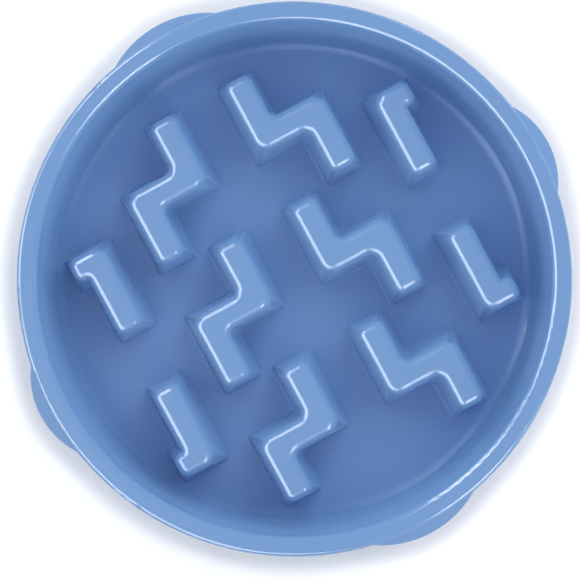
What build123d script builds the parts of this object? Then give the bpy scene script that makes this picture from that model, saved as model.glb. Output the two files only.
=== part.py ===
from build123d import *
import os
from math import cos, radians, sqrt, tan

# Slow feeder bowl: one hollow plastic moulding that stands on four push-in rubber pads.
# Millimetres and degrees. +Z is up, and the origin is on the table under the middle of the bowl.
# The two rows of zigzag ridges run along Y, and the four foot lobes point along X and Y.

# Bowl
bowl_height = 48.0  # from the table to the top of the lip
lip_outer_radius = 99.0
lip_width = 7.0
lip_edge_radius = 1.5  # outer edge of the lip
mouth_edge_radius = 2.2  # inner edge of the lip
wall = 2.5  # thickness of every wall of the moulding
inner_wall_draft = 2.5
skirt_draft = 3.5
skirt_clearance = 1.5  # from the table to the lower edge of the skirt
skirt_edge_radius = 0.8
floor_height = 7.5  # from the table to the top of the floor
floor_corner_radius = 5.0

# Foot lobes, standing out of the skirt and sloping away from the lip
foot_reach = 105.8  # from the middle of the bowl to the tip of a lobe, at its lower edge
side_lobe_radius = 33.0  # plan radius of the right and left lobes at their lower edge
end_lobe_radius = 40.0  # and of the back and front lobes
lobe_step = 1.2  # from the top of the lip down to the upper face of a lobe
lobe_slope = 28.0  # of the upper face
lobe_edge_radius = 0.8
lobe_directions = {"right": 0, "back": 90, "left": 180, "front": 270}

# Every ridge
ridge_height = 27.0  # above the floor
ridge_draft = 5.5
ridge_edge_radius = 3.0  # rounding of the top edges
ridge_end_radius = 3.4  # corners at the ends of arms and bars, at the top
ridge_foot_radius = 0.9  # outer corners where a ridge stands on the floor
ridge_root_radius = 0.8  # fillet between a ridge and the floor
core_corner_radius = 0.4  # least corner of the hollow inside a ridge
corner_margin = 0.2  # least stretch left over between two rounded corners

# Zigzag ridges: two arms along Y, set apart by a cross-bar along X
column_offset = 25.4  # from the YZ plane to the middle of a zigzag
row_pitch = 50.45
arm_step = 20.0  # between the middles of the two arms
arm_width = 9.9
crossbar_width = 9.5
arm_length = 23.2  # from the middle of the zigzag to the end of an arm
short_arm_length = 20.4  # the two arms that end beside the wall
outer_knee_radius = 5.8
inner_knee_radius = 3.0

# Short bars, each with a toe that points to the wall
bar_width = 9.7
bar_length = 32.4
bar_gap = 24.0  # between the two bars on one side
toe_length = 8.4
toe_reach = 4.2
toe_wall_gap = 8.9  # from the toe's far corner to the inner wall, along X at the floor

# Foot pads
pad_radius = 6.0
pad_height = 2.5
pad_edge_radius = 0.6
pad_clearance = 0.5  # between a pad and the wall of its lobe
stem_radius = 3.0
stem_length = 6.0
stem_chamfer = 0.6
stem_clearance = 0.1
boss_wall = 2.0

# Heights, radii and places that follow from these
ridge_top = floor_height + ridge_height
toe_room = min(toe_reach - core_corner_radius, toe_length / 2) - corner_margin  # for a toe's corner
bar_end_radius = min(ridge_end_radius, toe_room)
ridge_rounding = min(ridge_edge_radius, bar_end_radius - corner_margin)
ridge_spread = ridge_height * tan(radians(ridge_draft))
hollow_inset = wall * (1 / cos(radians(ridge_draft)) - tan(radians(ridge_draft)))
lip_inner_radius = lip_outer_radius - lip_width
lip_underside = bowl_height - wall
floor_underside = floor_height - wall
floor_radius = lip_inner_radius - (bowl_height - floor_height) * tan(radians(inner_wall_draft))
skirt_radius = lip_outer_radius + (bowl_height - skirt_clearance) * tan(radians(skirt_draft))
table_radius = lip_outer_radius + bowl_height * tan(radians(skirt_draft))
pad_offset = foot_reach - wall - pad_clearance - pad_radius
boss_radius = stem_radius + stem_clearance + boss_wall
bar_far_end = bar_gap / 2 + bar_length
bar_offset = sqrt(floor_radius**2 - bar_far_end**2) - toe_wall_gap - toe_reach - bar_width / 2


def drawn_in(radius, inset):
    """Radius of an outer corner after its outline is drawn in by inset."""
    return max(radius - inset, core_corner_radius)


def zigzag_corners(spread, outer_arm_length):
    """Corners of a right-hand zigzag about its middle, moved out by spread, from the inner arm's end."""
    half_step = arm_step / 2
    half_arm = arm_width / 2 + spread
    half_bar = crossbar_width / 2 + spread
    inner_end = arm_length + spread
    outer_end = outer_arm_length + spread
    return [
        (-half_step - half_arm, inner_end),
        (-half_step - half_arm, -half_bar),
        (half_step - half_arm, -half_bar),
        (half_step - half_arm, -outer_end),
        (half_step + half_arm, -outer_end),
        (half_step + half_arm, half_bar),
        (-half_step + half_arm, half_bar),
        (-half_step + half_arm, inner_end),
    ]


def bar_corners(spread):
    """Corners of a right-hand bar about the near end of its middle line, moved out by spread."""
    half = bar_width / 2 + spread
    far = bar_length + spread
    step = bar_length - toe_length - spread
    return [
        (-half, -spread),
        (half, -spread),
        (half, step),
        (half + toe_reach, step),
        (half + toe_reach, far),
        (-half, far),
    ]


def drafted_prism(base_height, base_corners, base_radii, top_corners, top_radii):
    """A ridge-high solid whose sides lean in from its base outline to its top outline."""
    with BuildPart() as prism:
        for height, corners, radii in (
            (base_height, base_corners, base_radii),
            (base_height + ridge_height, top_corners, top_radii),
        ):
            with BuildSketch(Plane.XY.offset(height)):
                with BuildLine():
                    FilletPolyline(*corners, radius=radii, close=True)
                make_face()
        loft(ruled=True)
    return prism.part


def zigzag_prism(base_height, inset, outer_arm_length):
    """A zigzag ridge, or with an inset the hollow inside it."""
    foot = drawn_in(ridge_foot_radius, inset)
    end = drawn_in(ridge_end_radius, inset)
    outer_knee = drawn_in(outer_knee_radius, inset)
    inner_knee = inner_knee_radius + inset
    return drafted_prism(
        base_height,
        zigzag_corners(ridge_spread - inset, outer_arm_length),
        [foot, foot, inner_knee, foot, foot, foot, inner_knee, foot],
        zigzag_corners(-inset, outer_arm_length),
        [end, outer_knee, inner_knee, end, end, outer_knee, inner_knee, end],
    )


def bar_prism(base_height, inset):
    """A bar ridge, or with an inset the hollow inside it."""
    foot = drawn_in(ridge_foot_radius, inset)
    end = drawn_in(bar_end_radius, inset)
    outer_knee = drawn_in(outer_knee_radius, inset)
    foot_knee = min(inner_knee_radius, toe_reach - foot - corner_margin)
    top_knee = min(inner_knee_radius, toe_reach - end - corner_margin)
    return drafted_prism(
        base_height,
        bar_corners(ridge_spread - inset),
        [foot, foot, foot_knee, foot, foot, foot],
        bar_corners(-inset),
        [end, end, top_knee, end, end, outer_knee],
    )


def ridge_pattern(base_height, inset):
    """All ten ridges, or with an inset the hollows inside them."""
    bar = bar_prism(base_height, inset)
    zigzag = zigzag_prism(base_height, inset, arm_length)
    end_zigzag = zigzag_prism(base_height, inset, short_arm_length)
    with BuildPart() as pattern:
        with Locations((bar_offset, bar_gap / 2)):
            add(bar)
        mirror(about=Plane.XZ)
        with Locations((column_offset, row_pitch), (column_offset, 0)):
            add(zigzag)
        with Locations((column_offset, -row_pitch)):
            add(end_zigzag)
        mirror(about=Plane.YZ)
    return pattern.part


def foot_lobes(base_height, inset):
    """All four lobes from base_height up, or with an inset the hollows inside them."""
    lean = tan(radians(skirt_draft))
    drop = tan(radians(lobe_slope))
    upper_face = bowl_height - lobe_step - inset / cos(radians(lobe_slope))
    far = foot_reach + wall
    with BuildPart() as lobes:
        for side, radius in (("right", side_lobe_radius), ("back", end_lobe_radius)):
            with Locations((0, 0, base_height)):
                with PolarLocations(foot_reach - radius, 2, start_angle=lobe_directions[side]):
                    Cone(
                        radius - inset + (skirt_clearance - base_height) * lean,
                        radius - inset + (skirt_clearance - bowl_height) * lean,
                        bowl_height - base_height,
                        align=(Align.CENTER, Align.CENTER, Align.MIN),
                    )
        with BuildSketch(Plane.XZ):
            with BuildLine():
                Polyline(
                    (lip_outer_radius - (bowl_height - upper_face) / drop, bowl_height),
                    (far, upper_face - (far - lip_outer_radius) * drop),
                    (far, bowl_height),
                    close=True,
                )
            make_face()
        revolve(axis=Axis.Z, mode=Mode.SUBTRACT)
    return lobes.part


os.makedirs("parts", exist_ok=True)

# The floor with its ridges, rounded along their tops and roots
ridges = ridge_pattern(floor_height, 0)
with BuildPart() as ridged_floor:
    with Locations((0, 0, floor_underside)):
        Cylinder(floor_radius, wall, align=(Align.CENTER, Align.CENTER, Align.MIN))
    add(ridges)
    fillet(ridged_floor.edges().filter_by_position(Axis.Z, ridge_top, ridge_top), ridge_rounding)
    floor_edges = ridged_floor.edges().filter_by_position(Axis.Z, floor_height, floor_height)
    fillet(floor_edges.sort_by(SortBy.LENGTH)[:-1], ridge_root_radius)

# The space under the bowl: inside the skirt, the lobes and the ridges, round the four bosses
ridge_hollows = ridge_pattern(floor_underside, hollow_inset)
lobe_hollows = foot_lobes(0, wall)
with BuildPart() as hollow:
    with BuildSketch(Plane.XZ):
        with BuildLine():
            Polyline(
                (0, 0),
                (table_radius - wall, 0),
                (lip_outer_radius - wall, bowl_height),
                (0, bowl_height),
                close=True,
            )
        make_face()
    revolve(axis=Axis.Z)
    add(lobe_hollows)
    split(bisect_by=Plane.XY.offset(lip_underside), keep=Keep.BOTTOM)
    with BuildSketch(Plane.XZ):
        with BuildLine():
            FilletPolyline(
                (0, floor_underside),
                (floor_radius + wall, floor_underside),
                (lip_inner_radius + wall, bowl_height),
                radius=floor_corner_radius + wall,
            )
            Polyline((lip_inner_radius + wall, bowl_height), (0, bowl_height), (0, floor_underside))
        make_face()
    revolve(axis=Axis.Z, mode=Mode.SUBTRACT)
    add(ridge_hollows)
    with Locations((0, 0, pad_height)):
        with PolarLocations(pad_offset, len(lobe_directions)):
            Cylinder(
                boss_radius,
                bowl_height,
                align=(Align.CENTER, Align.CENTER, Align.MIN),
                mode=Mode.SUBTRACT,
            )

# The foot lobes, rounded along their upper and lower edges
lobes = foot_lobes(skirt_clearance, 0)
with BuildPart() as rounded_lobes:
    add(lobes)
    fillet(rounded_lobes.edges().filter_by(GeomType.BSPLINE), lobe_edge_radius)
    fillet(rounded_lobes.edges().group_by(Axis.Z)[0], skirt_edge_radius)

# Bowl shell: lip, wall, floor, ridges, skirt, foot lobes and the bosses for the pads' stems
with BuildPart() as bowl_shell:
    with BuildSketch(Plane.XZ):
        with BuildLine():
            Polyline(
                (0, skirt_clearance),
                (skirt_radius, skirt_clearance),
                (lip_outer_radius, bowl_height),
                (0, bowl_height),
                close=True,
            )
        make_face()
    revolve(axis=Axis.Z)
    fillet(bowl_shell.edges().group_by(Axis.Z)[-1], lip_edge_radius)
    fillet(bowl_shell.edges().group_by(Axis.Z)[0], skirt_edge_radius)
    add(rounded_lobes.part)
    with BuildSketch(Plane.XZ):
        with BuildLine():
            FilletPolyline(
                (0, floor_height),
                (floor_radius, floor_height),
                (lip_inner_radius, bowl_height),
                radius=floor_corner_radius,
            )
            Polyline((lip_inner_radius, bowl_height), (0, bowl_height), (0, floor_height))
        make_face()
    revolve(axis=Axis.Z, mode=Mode.SUBTRACT)
    mouth_edges = bowl_shell.edges().filter_by_position(Axis.Z, bowl_height, bowl_height)
    fillet(mouth_edges.sort_by(SortBy.LENGTH)[0], mouth_edge_radius)
    add(ridged_floor.part)
    add(hollow.part, mode=Mode.SUBTRACT)
    with Locations((0, 0, pad_height)):
        with PolarLocations(pad_offset, len(lobe_directions)):
            Cylinder(
                stem_radius + stem_clearance,
                stem_length + stem_clearance,
                align=(Align.CENTER, Align.CENTER, Align.MIN),
                mode=Mode.SUBTRACT,
            )
bowl_shell.part.label = "bowl_shell"
export_step(bowl_shell.part, "parts/bowl_shell.step")

# Foot pads: a round head on the table, and a stem in the boss of its lobe
for side, direction in lobe_directions.items():
    with BuildPart() as foot_pad:
        with PolarLocations(pad_offset, 1, start_angle=direction):
            Cylinder(pad_radius, pad_height, align=(Align.CENTER, Align.CENTER, Align.MIN))
        fillet(foot_pad.edges().group_by(Axis.Z)[0], pad_edge_radius)
        with Locations((0, 0, pad_height)):
            with PolarLocations(pad_offset, 1, start_angle=direction):
                Cylinder(stem_radius, stem_length, align=(Align.CENTER, Align.CENTER, Align.MIN))
        chamfer(foot_pad.edges().group_by(Axis.Z)[-1], stem_chamfer)
    foot_pad.part.label = f"foot_pad_{side}"
    export_step(foot_pad.part, f"parts/foot_pad_{side}.step")
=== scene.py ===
from math import cos, hypot, radians, sin, sqrt

import bmesh
import bpy
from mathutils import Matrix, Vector


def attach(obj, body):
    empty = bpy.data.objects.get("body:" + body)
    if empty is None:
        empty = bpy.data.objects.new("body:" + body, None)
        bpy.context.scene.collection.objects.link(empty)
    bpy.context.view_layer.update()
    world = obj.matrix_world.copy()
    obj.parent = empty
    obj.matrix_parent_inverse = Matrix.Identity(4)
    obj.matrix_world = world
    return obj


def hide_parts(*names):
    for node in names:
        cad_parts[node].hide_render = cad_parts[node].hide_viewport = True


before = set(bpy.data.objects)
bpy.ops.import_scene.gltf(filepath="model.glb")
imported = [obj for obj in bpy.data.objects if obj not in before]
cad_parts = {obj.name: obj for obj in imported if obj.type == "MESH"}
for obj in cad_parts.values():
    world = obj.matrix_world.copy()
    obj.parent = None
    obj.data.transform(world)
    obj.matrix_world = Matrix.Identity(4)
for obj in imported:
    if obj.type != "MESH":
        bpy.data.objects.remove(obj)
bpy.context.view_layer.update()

# Sizes are in metres, angles in degrees, and colours are linear

# Camera: straight above the bowl, turned so that the ridges run from bottom right to top left
camera_turn = -28.4
camera_height = 0.861
camera_lens = 141.7
camera_sensor = 36.0
camera_shift_across = 0.0016  # the bowl's middle lies this far right of the picture's
camera_shift_up = 0.0039  # and this far above it

# Light: a room that is brightest from its sides, a soft key, and three panels that only the gloss shows
room_white = (1.0, 1.0, 1.0, 1.0)
room_horizon = 1.38  # strength of the room's light from the sides
room_zenith = 0.48  # and from above
key_direction = 25.0
key_lean = 35.0
key_distance = 1.6
key_size = (1.2, 1.2)
key_power = 7.2
softbox_direction = 186.0
softbox_lean = 36.0
softbox_distance = 1.0
softbox_size = (1.6, 0.72)
softbox_power = 35.0
strip_across = 0.13  # the strips stand this far right or left of the middle,
strip_along = 0.54  # this far in front of it or behind it,
strip_height = 0.72  # and this high
strip_size = (0.20, 0.55)
front_strip_power = 4.6
back_strip_power = 4.4

# Bowl plastic: satin up to one height, and glossy from the next
plastic_blue = (0.203, 0.394, 0.716, 1.0)
plastic_blue_deep = (0.195, 0.383, 0.700, 1.0)
gloss_roughness = 0.14  # lip
satin_roughness = 0.20  # ridges and wall
floor_roughness = 0.40
satin_height = 0.036
gloss_height = 0.044
roughness_spread = 0.02
plastic_softness = 0.9
plastic_ior = 1.52
plastic_shine = 0.5
floor_shine = 0.14  # on the floor and in its corner
plastic_flow = 22.0
flow_detail = 3.0
flow_roughness = 0.55
plastic_grain = 2600.0
grain_detail = 2.0
grain_roughness = 0.5
grain_strength = 0.12
grain_depth = 0.00004

# Rubber of the pads
rubber_dark = (0.030, 0.032, 0.036, 1.0)
rubber_light = (0.048, 0.050, 0.055, 1.0)
rubber_grain = 1800.0
rubber_detail = 3.0
rubber_noise_roughness = 0.6
rubber_least_roughness = 0.62
rubber_most_roughness = 0.8
rubber_strength = 0.3
rubber_depth = 0.0001

# Floor under the bowl
floor_span = 12.0
floor_white = (0.92, 0.92, 0.93, 1.0)
stage_roughness = 0.9
stage_shine = 0.1
floor_lift = 0.38
painted_shadow_reach = 0.016  # painted shadow: the floor's glow fades this close to the bowl
painted_shadow_openness = 0.76  # no glow lift, so the full painted shadow, where the floor is this open or less
clear_openness = 0.92  # and all of the lift, with no painted shadow, from here

# Surface of the moulding
seam_gap = 0.000002  # points this close are one point
flat_angle = 0.1  # faces that turn by less are one flat
crisp_angle = 33.0  # edges that turn by more stay crisp
flat_weight = 100  # how much the larger faces count in an averaged normal
least_rise = 0.02  # what rises by less faces sideways or down
least_level = 0.0001  # what leans by less is level
lip_top = 0.048
lip_middle = 0.0955  # distance from the bowl's middle
lip_rounding = 0.0015
mouth_rounding = 0.0022
ridge_top = 0.0345
ridge_rounding = 0.0030
ridge_foot = 0.0085  # above the rounding where a ridge meets the floor
ridge_draft = 5.5
floor_corner = 0.0126  # top of the rounding between floor and wall
floor_reach = 0.0850  # where that rounding starts
ridge_reach = 0.0880  # the ridges end inside this distance from the middle
straight_angle = 4.0  # a ridge wall is straight where it faces this close to an axis
trust_angle = 12.0  # a worked-out direction this close to the mesh's own is used


def node_material(name):
    """A new material with its node tree and its shader."""
    material = bpy.data.materials.new(name)
    material.use_nodes = True
    tree = material.node_tree
    return material, tree, tree.nodes["Principled BSDF"]


def noise(tree, coordinates, scale, detail, roughness):
    """Noise of that scale on those coordinates."""
    texture = tree.nodes.new("ShaderNodeTexNoise")
    texture.inputs["Scale"].default_value = scale
    texture.inputs["Detail"].default_value = detail
    texture.inputs["Roughness"].default_value = roughness
    tree.links.new(coordinates, texture.inputs["Vector"])
    return texture.outputs["Fac"]


def blend_colours(tree, factor, first, second):
    """A colour between first and second."""
    mix = tree.nodes.new("ShaderNodeMix")
    mix.data_type = "RGBA"
    mix.inputs[6].default_value = first
    mix.inputs[7].default_value = second
    tree.links.new(factor, mix.inputs[0])
    return mix.outputs[2]


def spread(tree, factor, low, high, start=0.3, end=0.7):
    """The factor's range from start to end, spread from low to high."""
    reach = tree.nodes.new("ShaderNodeMapRange")
    reach.inputs["From Min"].default_value = start
    reach.inputs["From Max"].default_value = end
    reach.inputs["To Min"].default_value = low
    reach.inputs["To Max"].default_value = high
    tree.links.new(factor, reach.inputs["Value"])
    return reach.outputs["Result"]


def added(tree, first, second):
    """The sum of two numbers."""
    total = tree.nodes.new("ShaderNodeMath")
    total.operation = "ADD"
    tree.links.new(first, total.inputs[0])
    tree.links.new(second, total.inputs[1])
    return total.outputs["Value"]


def bump(tree, height, strength, distance):
    """A normal from that height."""
    relief = tree.nodes.new("ShaderNodeBump")
    relief.inputs["Strength"].default_value = strength
    relief.inputs["Distance"].default_value = distance
    tree.links.new(height, relief.inputs["Height"])
    return relief.outputs["Normal"]


def moulded_blue_plastic(name, shine, low_roughness):
    """Blue plastic with faint flow marks and a fine grain, satin inside and glossy at the lip."""
    material, tree, shader = node_material(name)
    place = tree.nodes.new("ShaderNodeTexCoord").outputs["Object"]
    flow = noise(tree, place, plastic_flow, flow_detail, flow_roughness)
    grain = noise(tree, place, plastic_grain, grain_detail, grain_roughness)
    tree.links.new(
        blend_colours(tree, spread(tree, flow, 0.0, 1.0), plastic_blue, plastic_blue_deep),
        shader.inputs["Base Color"],
    )
    split = tree.nodes.new("ShaderNodeSeparateXYZ")
    tree.links.new(place, split.inputs["Vector"])
    height = split.outputs["Z"]
    finish = spread(tree, height, low_roughness, gloss_roughness, satin_height, gloss_height)
    patchiness = spread(tree, flow, -roughness_spread, roughness_spread)
    tree.links.new(added(tree, finish, patchiness), shader.inputs["Roughness"])
    tree.links.new(bump(tree, grain, grain_strength, grain_depth), shader.inputs["Normal"])
    shader.inputs["Diffuse Roughness"].default_value = plastic_softness
    shader.inputs["IOR"].default_value = plastic_ior
    shader.inputs["Specular IOR Level"].default_value = shine
    return material


def dark_rubber():
    """Matte dark rubber with a fine grain."""
    material, tree, shader = node_material("dark_rubber")
    place = tree.nodes.new("ShaderNodeTexCoord").outputs["Object"]
    grain = noise(tree, place, rubber_grain, rubber_detail, rubber_noise_roughness)
    tree.links.new(
        blend_colours(tree, spread(tree, grain, 0.0, 1.0), rubber_dark, rubber_light),
        shader.inputs["Base Color"],
    )
    finish = spread(tree, grain, rubber_least_roughness, rubber_most_roughness)
    tree.links.new(finish, shader.inputs["Roughness"])
    tree.links.new(bump(tree, grain, rubber_strength, rubber_depth), shader.inputs["Normal"])
    return material


def seen_directly(tree):
    """1 for what the camera sees, straight, in a gloss or through glass, and 0 for light on the object."""
    path = tree.nodes.new("ShaderNodeLightPath")
    total = path.outputs["Is Camera Ray"]
    for ray in ("Is Glossy Ray", "Is Transmission Ray"):
        either = tree.nodes.new("ShaderNodeMath")
        either.operation = "MAXIMUM"
        tree.links.new(total, either.inputs[0])
        tree.links.new(path.outputs[ray], either.inputs[1])
        total = either.outputs["Value"]
    return total


def floor_material():
    """White where nothing shades it; beside the bowl its glow is held back, a painted shadow on top of the
    real one.
    """
    material, tree, shader = node_material("pale_floor_painted_shadow")
    shader.inputs["Base Color"].default_value = floor_white
    shader.inputs["Roughness"].default_value = stage_roughness
    shader.inputs["Specular IOR Level"].default_value = stage_shine
    glow = tree.nodes.new("ShaderNodeEmission")
    openness = tree.nodes.new("ShaderNodeAmbientOcclusion")
    openness.inputs["Distance"].default_value = painted_shadow_reach
    level = tree.nodes.new("ShaderNodeMath")
    level.operation = "MULTIPLY"
    tree.links.new(seen_directly(tree), level.inputs[0])
    # the glow that whitens the floor is weakened where the bowl is near, which paints a shadow beside it
    glow_with_painted_shadow = spread(tree, openness.outputs["AO"], 0.0, floor_lift, painted_shadow_openness, clear_openness)
    tree.links.new(glow_with_painted_shadow, level.inputs[1])
    tree.links.new(level.outputs["Value"], glow.inputs["Strength"])
    total = tree.nodes.new("ShaderNodeAddShader")
    tree.links.new(shader.outputs["BSDF"], total.inputs[0])
    tree.links.new(glow.outputs["Emission"], total.inputs[1])
    tree.links.new(total.outputs["Shader"], tree.nodes["Material Output"].inputs["Surface"])
    return material


def make_floor():
    """The plain pale floor under the pads."""
    shape = bmesh.new()
    bmesh.ops.create_grid(shape, x_segments=1, y_segments=1, size=floor_span / 2)
    mesh = bpy.data.meshes.new("floor")
    shape.to_mesh(mesh)
    shape.free()
    floor = bpy.data.objects.new("floor", mesh)
    bpy.context.scene.collection.objects.link(floor)
    mesh.materials.append(floor_material())


def make_world():
    """A plain room: white where the camera sees it, and softer as light."""
    world = bpy.data.worlds.new("room")
    bpy.context.scene.world = world
    world.use_nodes = True
    tree = world.node_tree
    background = tree.nodes["Background"]
    background.inputs["Color"].default_value = room_white
    split = tree.nodes.new("ShaderNodeSeparateXYZ")
    tree.links.new(tree.nodes.new("ShaderNodeTexCoord").outputs["Generated"], split.inputs["Vector"])
    level = tree.nodes.new("ShaderNodeMix")
    level.inputs[3].default_value = 1.0
    tree.links.new(seen_directly(tree), level.inputs[0])
    light = spread(tree, split.outputs["Z"], room_horizon, room_zenith, 0.0, 1.0)
    tree.links.new(light, level.inputs[2])
    tree.links.new(level.outputs[0], background.inputs["Strength"])


def round_the_bowl(direction, lean, distance):
    """A place in that direction round the bowl's middle, leaning that far from upright."""
    turn = radians(direction)
    tilt = radians(lean)
    return Vector((cos(turn) * sin(tilt), sin(turn) * sin(tilt), cos(tilt))) * distance


def area_light(name, place, target, size, power, gloss_only):
    """A rectangular light at that place, turned to its target."""
    lamp = bpy.data.lights.new(name, "AREA")
    lamp.shape = "RECTANGLE"
    lamp.size, lamp.size_y = size
    lamp.energy = power
    holder = bpy.data.objects.new(name, lamp)
    bpy.context.scene.collection.objects.link(holder)
    holder.location = place
    holder.rotation_euler = (place - target).to_track_quat("Z", "Y").to_euler()
    holder.visible_camera = False
    holder.visible_diffuse = not gloss_only
    holder.visible_glossy = gloss_only


def light_the_bowl():
    """The key, and the panels whose gleam runs along the edges of the lip and the ridges."""
    middle = Vector((0.0, 0.0, 0.0))
    key_place = round_the_bowl(key_direction, key_lean, key_distance)
    area_light("key", key_place, middle, key_size, key_power, False)
    softbox_place = round_the_bowl(softbox_direction, softbox_lean, softbox_distance)
    area_light("softbox", softbox_place, middle, softbox_size, softbox_power, True)
    strips = (("front_strip", 1, front_strip_power), ("back_strip", -1, back_strip_power))
    for name, side, power in strips:
        place = Vector((side * strip_across, -side * strip_along, strip_height))
        target = Vector((side * strip_across, 0.0, 0.0))
        area_light(name, place, target, strip_size, power, True)


def make_camera():
    """The camera above the bowl."""
    camera = bpy.data.cameras.new("camera")
    camera.sensor_width = camera_sensor
    camera.lens = camera_lens
    holder = bpy.data.objects.new("camera", camera)
    bpy.context.scene.collection.objects.link(holder)
    turn = radians(camera_turn)
    across = Vector((cos(turn), sin(turn), 0.0))
    up = Vector((-sin(turn), cos(turn), 0.0))
    shift = across * camera_shift_across + up * camera_shift_up
    holder.location = Vector((0.0, 0.0, camera_height)) - shift
    holder.rotation_euler = (0.0, 0.0, turn)
    bpy.context.scene.camera = holder


def facing(level, slope):
    """A direction with that level part, rising by the slope's sine."""
    return level * sqrt(1.0 - slope * slope) + Vector((0.0, 0.0, slope))


def moulded_normal(normal, place):
    """The direction that the moulding faces there, which on a rounding follows from the height."""
    level = Vector((normal.x, normal.y, 0.0))
    reach = hypot(place.x, place.y)
    if normal.z < least_rise or level.length < least_level:
        return normal
    level.normalize()
    top = ridge_top
    rounding = ridge_rounding
    if reach > ridge_reach:
        outward = Vector((place.x, place.y, 0.0)) / reach
        level = outward if reach > lip_middle else -outward
        top = lip_top
        rounding = lip_rounding if reach > lip_middle else mouth_rounding
    slope = min(1.0 + (place.z - top) / rounding, 1.0)
    better = normal
    if slope > sin(radians(ridge_draft)):
        better = facing(level, slope)
    elif reach < ridge_reach and place.z > ridge_foot:
        along_axis = Vector((round(level.x), round(level.y), 0.0))
        if level.dot(along_axis) > cos(radians(straight_angle)):
            better = facing(along_axis, sin(radians(ridge_draft)))
    return better if better.dot(normal) > cos(radians(trust_angle)) else normal


def on_the_floor(face):
    """True on the bowl's floor, in its corner and at the feet of the ridges."""
    reach = min(hypot(corner.co.x, corner.co.y) for corner in face.verts)
    height = max(corner.co.z for corner in face.verts)
    limit = floor_corner if reach > floor_reach else ridge_foot
    return face.normal.z > 0.0 and height < limit and reach < ridge_reach


def make_bowl(materials):
    """The moulding as one closed skin: flats as single faces, and roundings that shade smoothly into them."""
    shape = bmesh.new()
    shape.from_mesh(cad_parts["bowl_shell"].data)
    bmesh.ops.remove_doubles(shape, verts=shape.verts, dist=seam_gap)
    bmesh.ops.dissolve_limit(
        shape,
        angle_limit=radians(flat_angle),
        verts=shape.verts,
        edges=shape.edges,
    )
    for face in shape.faces:
        face.smooth = True
        face.material_index = 1 if on_the_floor(face) else 0
    for edge in shape.edges:
        edge.smooth = edge.calc_face_angle(0.0) < radians(crisp_angle)
    mesh = bpy.data.meshes.new("bowl")
    shape.to_mesh(mesh)
    shape.free()
    if "custom_normal" in mesh.attributes:
        mesh.attributes.remove(mesh.attributes["custom_normal"])
    for material in materials:
        mesh.materials.append(material)
    bowl = bpy.data.objects.new("bowl", mesh)
    bpy.context.scene.collection.objects.link(bowl)
    flats_first = bowl.modifiers.new("flats_first", "WEIGHTED_NORMAL")
    flats_first.keep_sharp = True
    flats_first.weight = flat_weight
    averaged = bowl.evaluated_get(bpy.context.evaluated_depsgraph_get()).data.corner_normals
    places = [mesh.vertices[corner.vertex_index].co for corner in mesh.loops]
    normals = [moulded_normal(corner.vector, place) for corner, place in zip(averaged, places)]
    bowl.modifiers.remove(flats_first)
    mesh.normals_split_custom_set(normals)
    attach(bowl, "root")
    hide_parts("bowl_shell")


make_camera()
make_world()
make_floor()
light_the_bowl()
bpy.context.scene.view_settings.view_transform = "Standard"

make_bowl(
    [
        moulded_blue_plastic("moulded_blue_plastic", plastic_shine, satin_roughness),
        moulded_blue_plastic("moulded_blue_floor", floor_shine, floor_roughness),
    ]
)
rubber = dark_rubber()
for name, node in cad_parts.items():
    if name.startswith("foot_pad"):
        node.data.materials.clear()
        node.data.materials.append(rubber)
